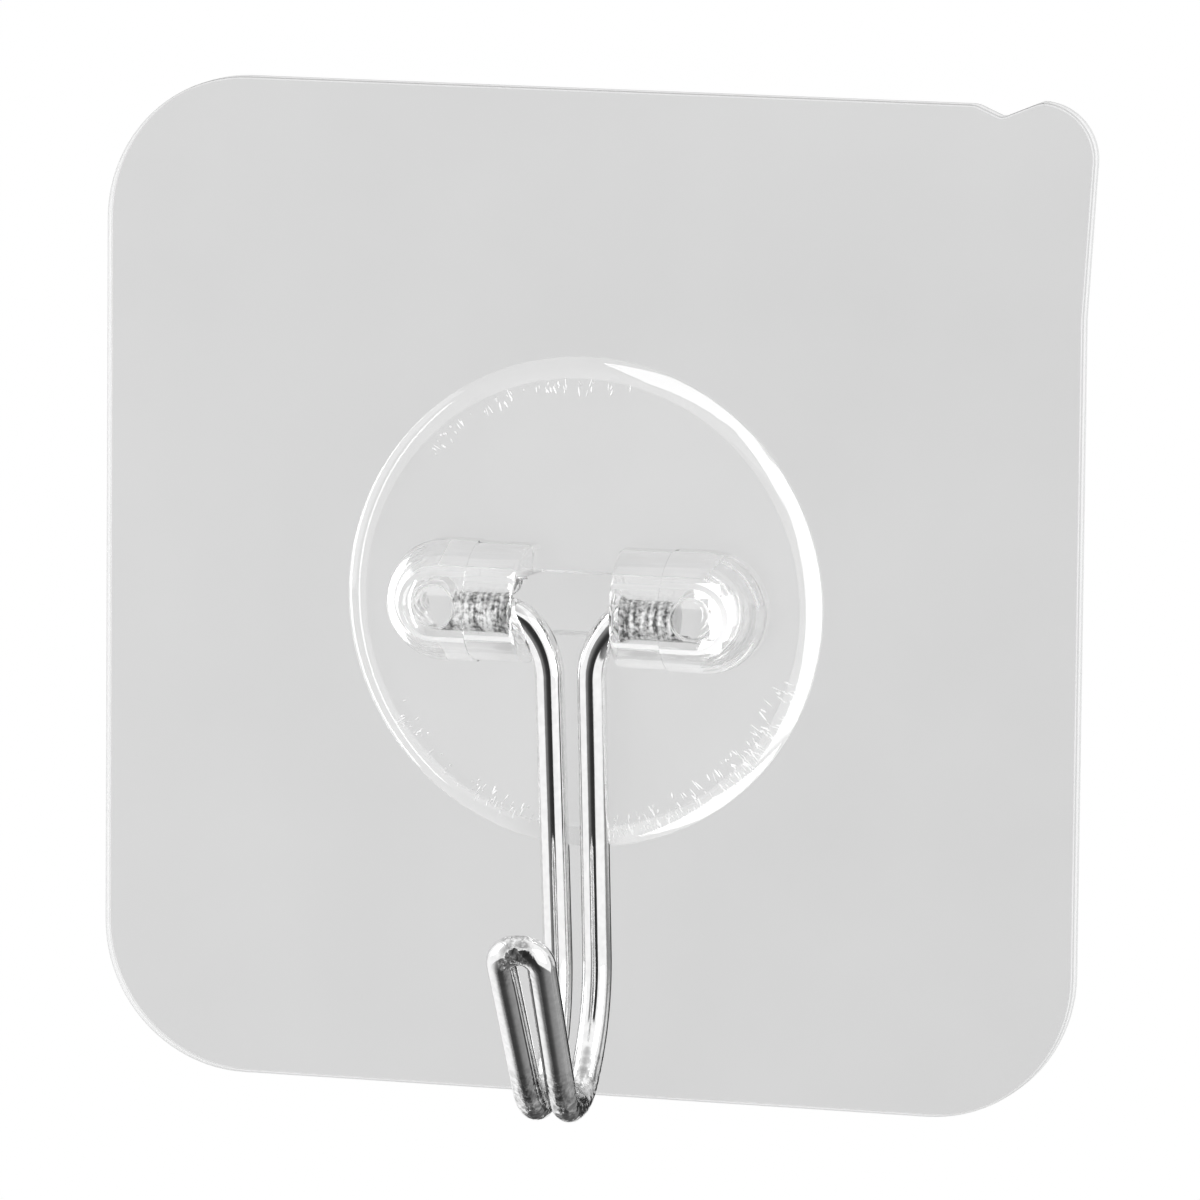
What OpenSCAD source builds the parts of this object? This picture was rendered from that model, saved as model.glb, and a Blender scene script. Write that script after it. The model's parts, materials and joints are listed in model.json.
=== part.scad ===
// Clear adhesive wall hook: a clear sheet with a sticky gel back, a clear moulded base
// glued to its front, and a bent wire hook that swings in the two bosses of the base.
// Shapes are drawn lying on the wall: x to the right, y up the wall, z out of the wall.
// on_wall() stands them up: the wall is the XZ plane, up is +Z and the front faces -Y.
// The origin is the centre of the sticky face on the wall. Sizes are in millimetres.

/* [Sheet] */
// Width of the clear sheet
sheet_w = 60; // [50:1:90]
// Height of the clear sheet
sheet_h = 60; // [56:1:90]
// Thickness of the clear sheet
sheet_t = 0.7; // [0.4:0.1:1.5]
// Thickness of the gel on the back of the sheet
adhesive_t = 0.4; // [0.2:0.1:1]
// Radius of the three plain corners
corner_r = 8.8; // [4:0.2:14]

/* [Peel ear] */
// Radius of the round ear at the top right corner
ear_r = 3.6; // [2.5:0.1:5]
// How far the ear stands above the top edge
ear_rise = 0.3; // [0:0.05:1]
// How far the ear stands past the right edge
ear_reach = 0.55; // [0:0.05:1]
// Length of the right edge that runs out to the ear
flank_l = 9; // [5:0.5:15]
// Width of the notch between the top edge and the ear
notch_w = 3.2; // [2:0.1:4]
// Depth of the notch below the top edge
notch_d = 0.65; // [0.3:0.05:1.5]
// Radius at the bottom of the notch
notch_r = 0.4; // [0.1:0.05:0.6]

/* [Base plate] */
// Thickness of the glue film between the sheet and the base
glue_t = 0.1; // [0.05:0.05:0.3]
// Width of the clear ring that the glue leaves free at the rim
glue_margin = 0.9; // [0.2:0.1:2]
// Radius of the round plate
plate_r = 14.6; // [14:0.1:18]
// Thickness of the plate
plate_t = 0.75; // [0.5:0.05:1]
// Width of the bevelled rim of the plate
rim_w = 1.6; // [0.5:0.1:2.5]
// Height of the upright edge below the bevel
rim_edge = 0.2; // [0.1:0.05:0.4]
// How far the centre of the base lies below the centre of the sheet
base_drop = 0.35; // [0:0.05:5]

/* [Bosses] */
// Radius of the round back of a boss
boss_r = 3.6; // [3.4:0.05:4.5]
// Height of a boss above the sheet
boss_h = 5.5; // [5.3:0.05:6.5]
// Distance from the middle of the base to the end of a boss
boss_reach = 11.6; // [11.2:0.1:12.5]
// Gap between the two bosses at the plate
boss_gap = 5; // [4.8:0.1:5.6]
// Lean of the inner face of a boss, in degrees
face_draft = 6.5; // [0:0.5:9]
// Distance from the middle to the mould step on a boss
step_x = 6; // [5:0.1:7]
// How much slimmer a boss is inside the mould step
step_d = 0.1; // [0.05:0.05:0.3]

/* [Slot and cores] */
// Width of the long slot in the back of the base
slot_w = 3.53; // [3.3:0.05:4]
// Distance from the middle to the round end of the slot
slot_end = 9.9; // [9.2:0.1:10.2]
// How far the roof of the slot lies behind the wire axis
snap_back = 0.5; // [0.4:0.05:0.6]
// Diameter of the round core hole at the end of each journal
core_d = 2.5; // [2:0.1:3]
// Thickness left in front of a core hole
core_roof = 0.6; // [0.5:0.1:1.5]

/* [Wire hook] */
// Diameter of the wire
wire_d = 1.8; // [1.5:0.05:2]
// Height of the wire axis above the sheet
pivot_h = 3.4; // [3.2:0.05:3.6]
// How far the wire axis lies below the middle of the base
pivot_drop = 0.3; // [0:0.05:0.4]
// Radius of the flared mouth of a bearing, which clears the bend of the wire
mouth_r = 1.95; // [1.9:0.05:2.05]
// Running clearance round a journal
bore_gap = 0.05; // [0.02:0.01:0.1]
// Distance from the middle to the end of a journal
wire_end = 6.6; // [6:0.1:7]
// Radius of the bend inside a boss
bend_r = 2; // [1.8:0.1:2.2]
// Turn of the bend inside a boss, in degrees
bend_turn = 52; // [45:1:58]
// Length of the straight between the two bends at the top of a leg
bend_flat = 0.3; // [0.2:0.1:0.6]
// Radius of the bend from the boss into the leg
leg_bend_r = 4.6; // [4:0.1:5.5]
// Gap between the two strands at the top of the legs
top_gap = 0.8; // [0.6:0.05:1]
// Gap between the two strands at the heel of the J
heel_gap = 0.6; // [0.4:0.05:0.9]
// Gap between the two strands at the toe of the J
toe_gap = 0.1; // [0.06:0.02:0.4]
// Gap between the two strands below the tip
tip_gap = 0.7; // [0.5:0.05:1]
// Length of the straight leg below the wire axis
leg_l = 20.7; // [18:0.1:26]
// Radius of the heel, the long bend at the foot of the leg
heel_r = 10; // [7:0.5:12]
// Turn of the heel, in degrees
heel_turn = 40; // [30:1:45]
// Length of the flat between the heel and the toe
heel_flat = 0.8; // [0.2:0.1:3]
// Radius of the toe, the tight bend at the bottom of the J
toe_r = 2.6; // [2.2:0.1:3.5]
// Lean of the front strand away from the leg, in degrees
front_lean = 24; // [10:1:35]
// Length of the straight front strand
front_l = 9.7; // [6:0.1:14]
// Length of the short straight at the top of the tip's U bend
tip_flat = 0.3; // [0.2:0.1:0.6]
// Gap left where the hanging hook rests against the sheet or the plate
rest_gap = 0.1; // [0.05:0.05:0.3]

/* [Hidden] */
$fn = 72;

// Cuts run past the faces they open by this much
past = 1;
// The wire is drawn thinner by this much in its bends
bend_thin = 0.01;
// Each bend of the wire runs this far into the straights beside it
bend_lap = 0.1;

// Heights above the wall
sheet_back = adhesive_t;
sheet_front = adhesive_t + sheet_t;
plate_back = sheet_front + glue_t;
plate_front = plate_back + plate_t;
pivot_z = sheet_front + pivot_h;
boss_z = sheet_front + boss_h - boss_r;
slot_roof = pivot_z - snap_back;
core_top = sheet_front + boss_h - core_roof;

// Peel ear
ear_x = sheet_w / 2 + ear_reach - ear_r;
ear_y = sheet_h / 2 + ear_rise - ear_r;
flank = [sheet_w / 2 - ear_x, -flank_l];
flank_turn = atan2(flank.y, flank.x) + acos(ear_r / norm(flank));
flank_touch = [ear_x, ear_y] + ear_r * [cos(flank_turn), sin(flank_turn)];
notch_x = ear_x - sqrt(pow(ear_r, 2) - pow(ear_r - ear_rise - notch_d / 2, 2));

// Bearings
wire_r = wire_d / 2;
bore_r = wire_r + bore_gap;
dome_x = boss_reach - boss_r;
face_x = boss_gap / 2;
core_x = wire_end + core_d / 2;
plate_flat_r = plate_r - rim_w;
face_top_x = face_x + (sheet_front + boss_h + past - plate_front) * tan(face_draft);
face_foot_x = face_x - (plate_front - plate_back) * tan(face_draft);

// Wire: x across, y up along the leg, z out, from the middle of the wire axis
leg_x = wire_r + top_gap / 2;
tip_x = wire_r + tip_gap / 2;
tip_r = tip_x - tip_flat / 2;
toe_turn = 180 - heel_turn - front_lean;
bend_x = leg_x + bend_r * sin(bend_turn) + bend_flat * cos(bend_turn) + leg_bend_r * (1 - sin(bend_turn));
bend_trim = bend_r * tan(bend_turn / 2);
leg_trim = leg_bend_r * tan((90 - bend_turn) / 2);
heel_trim = heel_r * tan(heel_turn / 2);
toe_trim = toe_r * tan(toe_turn / 2);
heel_run = heel_trim + heel_flat + toe_trim;
front_run = toe_trim + front_l + tip_r;
bend_p = [bend_x - bend_trim, 0, 0];
leg_p = bend_p - (bend_trim + bend_flat + leg_trim) * [cos(bend_turn), sin(bend_turn), 0];
heel_p = [wire_r + heel_gap / 2, -leg_l - heel_trim, 0];
toe_yz = [heel_p.y, heel_p.z] + heel_run * [-cos(heel_turn), sin(heel_turn)];
tip_yz = toe_yz + front_run * [cos(front_lean), sin(front_lean)];
toe_p = [wire_r + toe_gap / 2, toe_yz.x, toe_yz.y];
tip_p = [tip_x, tip_yz.x, tip_yz.y];
// Corners of the right half of the wire, from the middle of the tip to the end of the journal
corners = [[0, tip_p.y, tip_p.z], tip_p, toe_p, heel_p, leg_p, bend_p, [wire_end, 0, 0]];
radii = [0, tip_r, toe_r, heel_r, leg_bend_r, bend_r, 0];
runs = len(corners) - 1;
ways = [for (i = [0:runs - 1]) unit(corners[i + 1] - corners[i])];
turns = [for (i = [0:runs]) i == 0 || i == runs ? 0 : acos(ways[i - 1] * ways[i])];
trims = [for (i = [0:runs]) radii[i] * tan(turns[i] / 2)];
lengths = [for (i = [0:runs - 1]) norm(corners[i + 1] - corners[i]) - trims[i] - trims[i + 1]];
axes = [for (i = [1:runs - 1]) unit(cross(ways[i - 1], ways[i]))];
rolls = [for (i = [0:runs - 3]) atan2(cross(axes[i], axes[i + 1]) * ways[i + 1], axes[i] * axes[i + 1])];

// The hook hangs back until its leg meets the sheet, or the edge of the plate if that is first
plate_rise = pivot_z - plate_front;
heel_rise = pivot_h - wire_r - rest_gap - heel_r;
lean_to_sheet = atan2(heel_r, leg_l) + asin(heel_rise / norm([heel_r, leg_l]));
plate_below = plate_flat_r - pivot_drop;
plate_edge = [plate_rise, plate_below];
lean_to_plate = acos((wire_r + rest_gap) / norm(plate_edge)) - atan2(plate_below, plate_rise);
hang_lean = min(lean_to_sheet, lean_to_plate);

function unit(v) = v / norm(v);

// Stands a shape that was drawn lying on the wall up against it
module on_wall() {
    rotate([90, 0, 0]) children();
}

// Moves a shape from the middle of the sheet to the middle of the base
module at_base() {
    translate([0, -base_drop, 0]) children();
}

// A long slot with round ends, lying across the base
module stadium(half_l, width) {
    end_x = half_l - width / 2;
    square([2 * end_x, width], center = true);
    for (side = [-1, 1]) translate([side * end_x, 0]) circle(d = width);
}

// Outline of the sheet: three round corners, and the peel ear at the fourth
module sheet_outline() {
    half_w = sheet_w / 2;
    half_h = sheet_h / 2;
    difference() {
        union() {
            difference() {
                square([sheet_w, sheet_h], center = true);
                for (sx = [-1, 1], sy = [-1, 1]) {
                    cut = sx > 0 && sy > 0 ? ear_r : corner_r;
                    translate([sx * (half_w - cut), sy * (half_h - cut)]) difference() {
                        translate([sx, sy] * (cut + past) / 2) square(cut + past, center = true);
                        circle(cut);
                    }
                }
            }
            translate([ear_x, ear_y]) circle(ear_r);
            polygon([[ear_x, ear_y - flank_l], [half_w, ear_y - flank_l], flank_touch, [ear_x, ear_y]]);
        }
        notch();
    }
}

// Rounded V notch beside the peel ear
module notch() {
    round_y = notch_r - notch_d;
    reach = norm([notch_w / 2, round_y]);
    slope = atan2(-round_y, notch_w / 2) + asin(notch_r / reach);
    touch = [notch_r * sin(slope), round_y - notch_r * cos(slope)];
    open_x = notch_w / 2 + past / tan(slope);
    translate([notch_x, sheet_h / 2]) {
        translate([0, round_y]) circle(notch_r);
        polygon([[-touch.x, touch.y], [touch.x, touch.y], [open_x, past], [-open_x, past]]);
    }
}

// Outline of a boss seen along the wire axis: straight sides under a half circle
module boss_profile(r) {
    side_h = boss_z - plate_back;
    translate([0, plate_back]) {
        translate([-r, 0]) square([2 * r, side_h]);
        intersection() {
            translate([0, side_h]) circle(r);
            translate([-r, 0]) square([2 * r, side_h + r]);
        }
    }
}

// A stretch of boss of one thickness, centred on the middle of the base
module boss_length(r, half_l) {
    rotate([90, 0, 90]) linear_extrude(2 * half_l, center = true) boss_profile(r);
}

// Round end of a boss: a dome on an upright cylinder
module boss_end() {
    rotate_extrude() intersection() {
        boss_profile(boss_r);
        translate([0, plate_back]) square([boss_r, boss_z + boss_r - plate_back]);
    }
}

// The two bosses, with the leaning gap between them
module bosses() {
    difference() {
        union() {
            boss_length(boss_r - step_d, step_x);
            difference() {
                boss_length(boss_r, dome_x);
                boss_length(boss_r + past, step_x);
            }
            for (side = [-1, 1]) translate([side * dome_x, 0, 0]) boss_end();
        }
        rotate([90, 0, 0]) linear_extrude(2 * (boss_r + past), center = true)
            polygon([
                [-face_foot_x, plate_back], [face_foot_x, plate_back],
                [face_top_x, sheet_front + boss_h + past], [-face_top_x, sheet_front + boss_h + past]
            ]);
    }
}

// Round plate with a bevelled rim
module plate() {
    rotate_extrude() polygon([
        [0, plate_back], [plate_r, plate_back], [plate_r, plate_back + rim_edge],
        [plate_flat_r, plate_front], [0, plate_front]
    ]);
}

// Bore for the journals, flared at the inner faces to clear the bends of the wire
module bearing_cut() {
    translate([0, -pivot_drop, pivot_z]) rotate([0, 90, 0]) {
        cylinder(r = bore_r, h = 2 * core_x, center = true);
        rotate_extrude() difference() {
            translate([0, -bend_x]) square([mouth_r, 2 * bend_x]);
            for (side = [-1, 1]) translate([bend_r, side * bend_x]) circle(bend_r - bore_r);
        }
    }
}

// Round wire from run i onwards, bent as on a wire former: feed straight, bend, roll, and feed again
module formed_wire(i) {
    cylinder(r = wire_r, h = lengths[i]);
    if (i < runs - 1) {
        r = radii[i + 1];
        lap = asin(bend_lap / r);
        translate([r, 0, lengths[i]]) {
            rotate([90, 0, 180]) rotate([0, 0, -lap]) rotate_extrude(angle = turns[i + 1] + 2 * lap)
                translate([r, 0]) circle(wire_r - bend_thin);
            rotate([0, turns[i + 1], 0]) translate([-r, 0, 0]) rotate([0, 0, i < runs - 2 ? rolls[i] : 0])
                formed_wire(i + 1);
        }
    }
}

// Right half of the wire, which starts sideways from the middle of the tip
module half_wire() {
    inward = cross(axes[0], ways[0]);
    translate(corners[0]) multmatrix([
        [0, 0, 1, 0],
        [inward.y, axes[0].y, 0, 0],
        [inward.z, axes[0].z, 0, 0]
    ]) formed_wire(0);
}

// Sticky gel, cut to the same outline as the sheet
module adhesive_layer() {
    color([0.86, 0.88, 0.88, 0.5]) on_wall() linear_extrude(adhesive_t) sheet_outline();
}

// Clear soft plastic sheet with the peel ear
module base_sheet() {
    color([0.82, 0.84, 0.85, 0.5]) on_wall() translate([0, 0, sheet_back])
        linear_extrude(sheet_t) sheet_outline();
}

// Glue between the sheet and the base, open under the slot
module glue_film() {
    color([0.9, 0.9, 0.88, 0.5]) on_wall() at_base() translate([0, 0, sheet_front]) linear_extrude(glue_t)
        difference() {
            circle(plate_r - glue_margin);
            stadium(slot_end, slot_w);
        }
}

// Clear moulded base: plate, two hollow bosses and the bearings for the wire
module hook_base() {
    color([0.95, 0.96, 0.97, 0.6]) on_wall() at_base() difference() {
        union() {
            plate();
            bosses();
        }
        translate([0, 0, plate_back - past])
            linear_extrude(slot_roof - plate_back + past) stadium(slot_end, slot_w);
        bearing_cut();
        for (side = [-1, 1])
            translate([side * core_x, 0, plate_back]) cylinder(d = core_d, h = core_top - plate_back);
    }
}

// Bent chromed wire, hanging down with its leg against the sheet
module wire_hook() {
    color([0.78, 0.79, 0.8]) on_wall() at_base() translate([0, -pivot_drop, pivot_z])
        rotate([hang_lean, 0, 0]) for (side = [0, 1]) mirror([side, 0, 0]) half_wire();
}

adhesive_layer();
base_sheet();
glue_film();
hook_base();
wire_hook();
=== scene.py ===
import json
import math

import bmesh
import bpy
from mathutils import Matrix, Vector


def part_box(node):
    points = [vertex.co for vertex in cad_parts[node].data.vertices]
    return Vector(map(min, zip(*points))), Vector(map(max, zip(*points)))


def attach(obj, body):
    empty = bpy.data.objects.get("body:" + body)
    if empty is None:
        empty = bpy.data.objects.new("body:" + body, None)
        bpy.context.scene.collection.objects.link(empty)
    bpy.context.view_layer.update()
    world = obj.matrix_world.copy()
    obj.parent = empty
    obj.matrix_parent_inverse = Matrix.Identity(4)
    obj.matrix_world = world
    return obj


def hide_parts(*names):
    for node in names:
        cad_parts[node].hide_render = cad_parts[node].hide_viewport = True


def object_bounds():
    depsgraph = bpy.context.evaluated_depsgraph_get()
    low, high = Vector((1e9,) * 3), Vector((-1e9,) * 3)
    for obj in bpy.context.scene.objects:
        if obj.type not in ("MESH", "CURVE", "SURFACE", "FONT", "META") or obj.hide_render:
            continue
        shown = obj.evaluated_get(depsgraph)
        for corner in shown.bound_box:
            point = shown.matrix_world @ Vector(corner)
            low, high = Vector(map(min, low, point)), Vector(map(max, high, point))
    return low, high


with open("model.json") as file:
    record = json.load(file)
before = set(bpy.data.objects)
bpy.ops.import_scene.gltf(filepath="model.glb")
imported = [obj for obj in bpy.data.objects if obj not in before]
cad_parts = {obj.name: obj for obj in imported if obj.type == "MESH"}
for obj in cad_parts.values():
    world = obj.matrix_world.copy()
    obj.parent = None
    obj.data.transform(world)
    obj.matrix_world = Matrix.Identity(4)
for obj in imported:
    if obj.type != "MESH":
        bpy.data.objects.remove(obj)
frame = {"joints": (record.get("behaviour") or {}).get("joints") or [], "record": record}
cad_low, cad_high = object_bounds()

# Sticky gel.
# A clear soft gel that holds the hook on the wall, cast on the back of the sheet and die-cut with it,
# so it has the same outline with a peel ear behind a notch at the top right corner.
MM = 0.001
ARC_STEP = math.radians(4)
NOISE_LOW, NOISE_HIGH = 0.3, 0.7
FRONT, BACK, CUT, FRONT_LINE = range(4)
bodies = frame["record"]["behaviour"]["bodies"]
piece_body = {node: body for body, nodes in bodies.items() for node in nodes}
gel_low, gel_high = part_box("adhesive_layer")
gel_rounding = 0.08 * MM
contact_gap = 0.01 * MM
film_sharp = math.radians(40)


def rounded(corners):
    """Closed outline through corners (x, y, radius), with an arc at each corner that has a radius."""
    points = []
    for i, (x, y, radius) in enumerate(corners):
        corner = Vector((x, y))
        before = (Vector(corners[i - 1][:2]) - corner).normalized()
        after = (Vector(corners[(i + 1) % len(corners)][:2]) - corner).normalized()
        turn = math.pi - before.angle(after)
        if radius == 0:
            points.append(corner)
            continue
        middle = corner + (before + after).normalized() * radius / math.cos(turn / 2)
        start = corner + before * radius * math.tan(turn / 2) - middle
        side = 1 if before.cross(after) < 0 else -1
        steps = max(2, math.ceil(turn / ARC_STEP))
        for k in range(steps + 1):
            points.append(middle + Matrix.Rotation(side * turn * k / steps, 2) @ start)
    return points


def sheet_outline():
    """Outline of the sheet in the wall's plane, with its peel ear and the notch beside it."""
    half = -cad_low.x
    corner_r = 8.8 * MM
    ear_side, ear_top, ear_r = 30.74 * MM, 30.28 * MM, 3.3 * MM
    ear_root, ear_root_r = 17.7 * MM, 6 * MM
    ear_left, ear_left_r = 27.23 * MM, 2 * MM
    notch_x, notch_z, notch_r = 24.92 * MM, 29.31 * MM, 0.6 * MM
    notch_left, notch_left_r = 23.32 * MM, 1.5 * MM
    return rounded([
        (-half, -half, corner_r),
        (half, -half, corner_r),
        (half, ear_root, ear_root_r),
        (ear_side, ear_top, ear_r),
        (ear_left, ear_top, ear_left_r),
        (notch_x, notch_z, notch_r),
        (notch_left, half, notch_left_r),
        (-half, half, corner_r),
    ])


def slab(outline, front, back, rounding=0):
    """Closed solid between two heights of y, with the outline in x and z and a rounded front edge."""
    bm = bmesh.new()
    loops = []
    for y in (front, back):
        loops.append([bm.verts.new((p.x, y, p.y)) for p in outline])
    face = bm.faces.new(loops[0])
    bm.faces.new(reversed(loops[1]))
    for i in range(len(outline)):
        bm.faces.new((loops[0][i - 1], loops[1][i - 1], loops[1][i], loops[0][i]))
    bmesh.ops.recalc_face_normals(bm, faces=bm.faces)
    if rounding:
        edges = list(face.edges)
        bmesh.ops.bevel(bm, geom=edges, offset=rounding, segments=4, profile=0.5, affect="EDGES")
    return bm


def as_object(name, bm):
    """New object with a mesh made from bm."""
    mesh = bpy.data.meshes.new(name)
    bm.to_mesh(mesh)
    bm.free()
    piece = bpy.data.objects.new(name, mesh)
    bpy.context.scene.collection.objects.link(piece)
    return piece


def finished(piece, sharp=math.radians(30)):
    """Turns the piece's modifiers into plain mesh, with smooth faces that meet sharply past an angle."""
    shown = bpy.context.evaluated_depsgraph_get()
    mesh = bpy.data.meshes.new_from_object(piece.evaluated_get(shown), depsgraph=shown)
    piece.modifiers.clear()
    piece.data = mesh
    mesh.materials.clear()
    mesh.shade_smooth()
    mesh.set_sharp_from_angle(angle=sharp)


def finish_as(piece, node, materials):
    """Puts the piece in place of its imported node, with its materials."""
    for material in materials:
        piece.data.materials.append(material)
    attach(piece, piece_body[node])
    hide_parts(node)


def faces_by_side(piece):
    """Gives the front, the back, the cut edge and the line round the front a material each."""
    flat = 0.93
    line_from, line_to = -0.7, -0.1
    for face in piece.data.polygons:
        if face.normal.y < -flat:
            face.material_index = FRONT
        elif face.normal.y > flat:
            face.material_index = BACK
        elif line_from < face.normal.y < line_to:
            face.material_index = FRONT_LINE
        else:
            face.material_index = CUT


class NodeTree:
    """A node tree, with short ways to add a node, feed its sockets and do sums."""

    def __init__(self, tree):
        self.tree = tree

    def add(self, kind, sockets=(), **settings):
        node = self.tree.nodes.new(kind)
        for key, value in settings.items():
            setattr(node, key, value)
        for key, value in dict(sockets).items():
            if isinstance(value, bpy.types.NodeSocket):
                self.tree.links.new(value, node.inputs[key])
            else:
                node.inputs[key].default_value = value
        return node

    def maths(self, operation, *values):
        return self.add("ShaderNodeMath", dict(enumerate(values)), operation=operation).outputs[0]

    def vectors(self, operation, *values):
        made = self.add("ShaderNodeVectorMath", dict(enumerate(values)), operation=operation)
        return made.outputs["Value" if operation == "LENGTH" else "Vector"]

    def spread(self, value, low, high, to_low=0.0, to_high=1.0, ease="LINEAR"):
        """The value with its range from low to high stretched to another range, and held at its ends."""
        return self.add("ShaderNodeMapRange", {
            "Value": value, "From Min": low, "From Max": high, "To Min": to_low, "To Max": to_high,
        }, interpolation_type=ease).outputs["Result"]


class Shade(NodeTree):
    """A new material's node tree."""

    def __init__(self, name):
        self.material = bpy.data.materials.new(name)
        self.material.use_nodes = True
        super().__init__(self.material.node_tree)
        self.tree.nodes.clear()

    def place(self):
        return self.add("ShaderNodeTexCoord").outputs["Object"]

    def noise(self, where, scale, detail):
        sockets = {"Vector": where, "Scale": scale, "Detail": detail}
        return self.add("ShaderNodeTexNoise", sockets).outputs["Fac"]

    def grey(self, level):
        return self.add("ShaderNodeCombineColor", {0: level, 1: level, 2: level}).outputs[0]

    def clear(self, colour):
        return self.add("ShaderNodeBsdfTransparent", {"Color": colour}).outputs[0]

    def mixed(self, share, one, two):
        return self.add("ShaderNodeMixShader", {0: share, 1: one, 2: two}).outputs[0]

    def done(self, surface):
        self.add("ShaderNodeOutputMaterial", {"Surface": surface})
        return self.material


def cloudy(s, tint, clouding):
    """A grey that varies a little from place to place, as a colour socket."""
    cloud = s.noise(s.place(), 90.0, 3.0)
    return s.grey(s.spread(cloud, NOISE_LOW, NOISE_HIGH, tint - clouding, tint + clouding))


def bonded_film(name, tint, clouding):
    """Face of a clear layer that is bonded to the next one: it lets light through and mirrors nothing."""
    s = Shade(name)
    return s.done(s.clear(cloudy(s, tint, clouding)))


def shaded_edge_line(name, tint):
    """Steep rim of the rounded front edge, a grey line of painted shade that fades out where it faces the
    right, towards the lamps.
    """
    s = Shade(name)
    normal = s.add("ShaderNodeNewGeometry").outputs["Normal"]
    facing_right = s.add("ShaderNodeSeparateXYZ", {0: normal}).outputs[0]
    # painted shade: the rim's tint is grey where it faces away from the right and nearly clear where it
    # faces the right
    return s.done(s.clear(s.grey(s.spread(facing_right, 0.0, 0.6, tint, 0.98))))


def cut_edge(name, white, share):
    """Edge of clear plastic that glows white, with fine lines along it. Share is how milky it is."""
    s = Shade(name)
    line_scale = (300.0, 9000.0, 300.0)
    line_depth = 0.05
    glow_share = 0.3
    lines = s.add("ShaderNodeMapping", {"Vector": s.place(), "Scale": line_scale}).outputs[0]
    streak = s.noise(lines, 1.0, 2.0)
    colour = s.grey(s.spread(streak, NOISE_LOW, NOISE_HIGH, white - line_depth, white))
    milky = s.add("ShaderNodeBsdfDiffuse", {"Color": colour}).outputs[0]
    glow = s.add("ShaderNodeBsdfTranslucent", {"Color": colour}).outputs[0]
    return s.done(s.mixed(share, s.clear(colour), s.mixed(glow_share, milky, glow)))


gel = as_object("sticky_gel", slab(sheet_outline(), gel_low.y + contact_gap, gel_high.y, gel_rounding))
finished(gel, film_sharp)
faces_by_side(gel)
finish_as(gel, "adhesive_layer", [
    bonded_film("gel_front", tint=0.99, clouding=0.003),
    bonded_film("gel_back", tint=0.71, clouding=0.004),
    cut_edge("gel_cut_edge", white=0.95, share=0.6),
    shaded_edge_line("gel_edge_line", tint=0.95),
])

# Clear sheet.
# A die-cut sheet of clear soft plastic, bonded all over to the gel behind it. Its polished faces let the
# wall show through, and its cut edges shine white.
sheet_low, sheet_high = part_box("base_sheet")
sheet_rounding = 0.2 * MM


def open_film(name, tint, clouding):
    """Bare face of soft clear plastic, with a dull shine of its own."""
    s = Shade(name)
    shine_share = 0.04
    gloss = s.add("ShaderNodeBsdfGlossy", {"Roughness": 0.35}).outputs[0]
    return s.done(s.mixed(shine_share, s.clear(cloudy(s, tint, clouding)), gloss))


sheet = as_object("clear_sheet", slab(sheet_outline(), sheet_low.y, sheet_high.y, sheet_rounding))
finished(sheet, film_sharp)
faces_by_side(sheet)
finish_as(sheet, "base_sheet", [
    open_film("sheet_front", tint=0.99, clouding=0.003),
    bonded_film("sheet_back", tint=0.99, clouding=0.003),
    cut_edge("sheet_cut_edge", white=1.0, share=0.85),
    shaded_edge_line("sheet_edge_line", tint=0.78),
])

# Glue film.
# A thin clear film of glue that holds the moulded base on the sheet, open under the slot of the base. It
# dried with a broken edge, which shows as short white strokes round the rim of the base.
glue_low, glue_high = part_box("glue_film")
base_low, base_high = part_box("hook_base")
base_z = (base_low.z + base_high.z) / 2
slot_w = 3.53 * MM
slot_end = 9.9 * MM
past = 1 * MM
glue_r = glue_high.x
glue_front = glue_low.y + contact_gap
glue_back = glue_high.y - contact_gap
glue_ripple = 0.25 * MM
glue_points = 240
stroke_height = 0.03 * MM
stroke_width = 0.05 * MM
# Each row: name, count, seed, first angle and sweep in degrees, outer radius, width of the band, length.
rim_strokes = [
    ("lower_right", 150, 11, -84, 66, 13.8 * MM, 1.3 * MM, 0.42 * MM),
    ("lower_left", 70, 23, -150, 56, 13.7 * MM, 0.9 * MM, 0.3 * MM),
    ("top", 60, 37, 78, 62, 13.1 * MM, 0.7 * MM, 0.3 * MM),
]


def slot_outline():
    """Outline of the slot in the back of the base, with round ends."""
    r = slot_w / 2
    end_r = r * 0.999
    return rounded([
        (-slot_end, base_z - r, end_r), (slot_end, base_z - r, end_r),
        (slot_end, base_z + r, end_r), (-slot_end, base_z + r, end_r),
    ])


def glue_outline():
    """Edge of the film, which ripples round the rim."""
    points = []
    for k in range(glue_points):
        a = 2 * math.pi * k / glue_points
        reach = glue_r - glue_ripple * (1 + math.sin(7 * a) * math.sin(23 * a + 1))
        points.append(Vector((reach * math.cos(a), base_z + reach * math.sin(a))))
    return points


def combine(piece, other, operation):
    """Joins another solid to the piece, or cuts it away."""
    tool = as_object("tool", other)
    change = piece.modifiers.new("combine", "BOOLEAN")
    change.operation = operation
    change.solver = "MANIFOLD"
    change.object = tool
    finished(piece)
    bpy.data.objects.remove(tool)


def node_rule(name, inputs):
    """New node tree for a modifier, with its named inputs (socket kind, value), and what it is given."""
    tree = bpy.data.node_groups.new(name, "GeometryNodeTree")
    tree.is_modifier = True
    tree.interface.new_socket("Geometry", in_out="OUTPUT", socket_type="NodeSocketGeometry")
    for label, (kind, value) in inputs.items():
        socket = tree.interface.new_socket(label, in_out="INPUT", socket_type="NodeSocket" + kind)
        if value is not None:
            socket.default_value = value
    rule = NodeTree(tree)
    return rule, rule.add("NodeGroupInput").outputs


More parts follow.
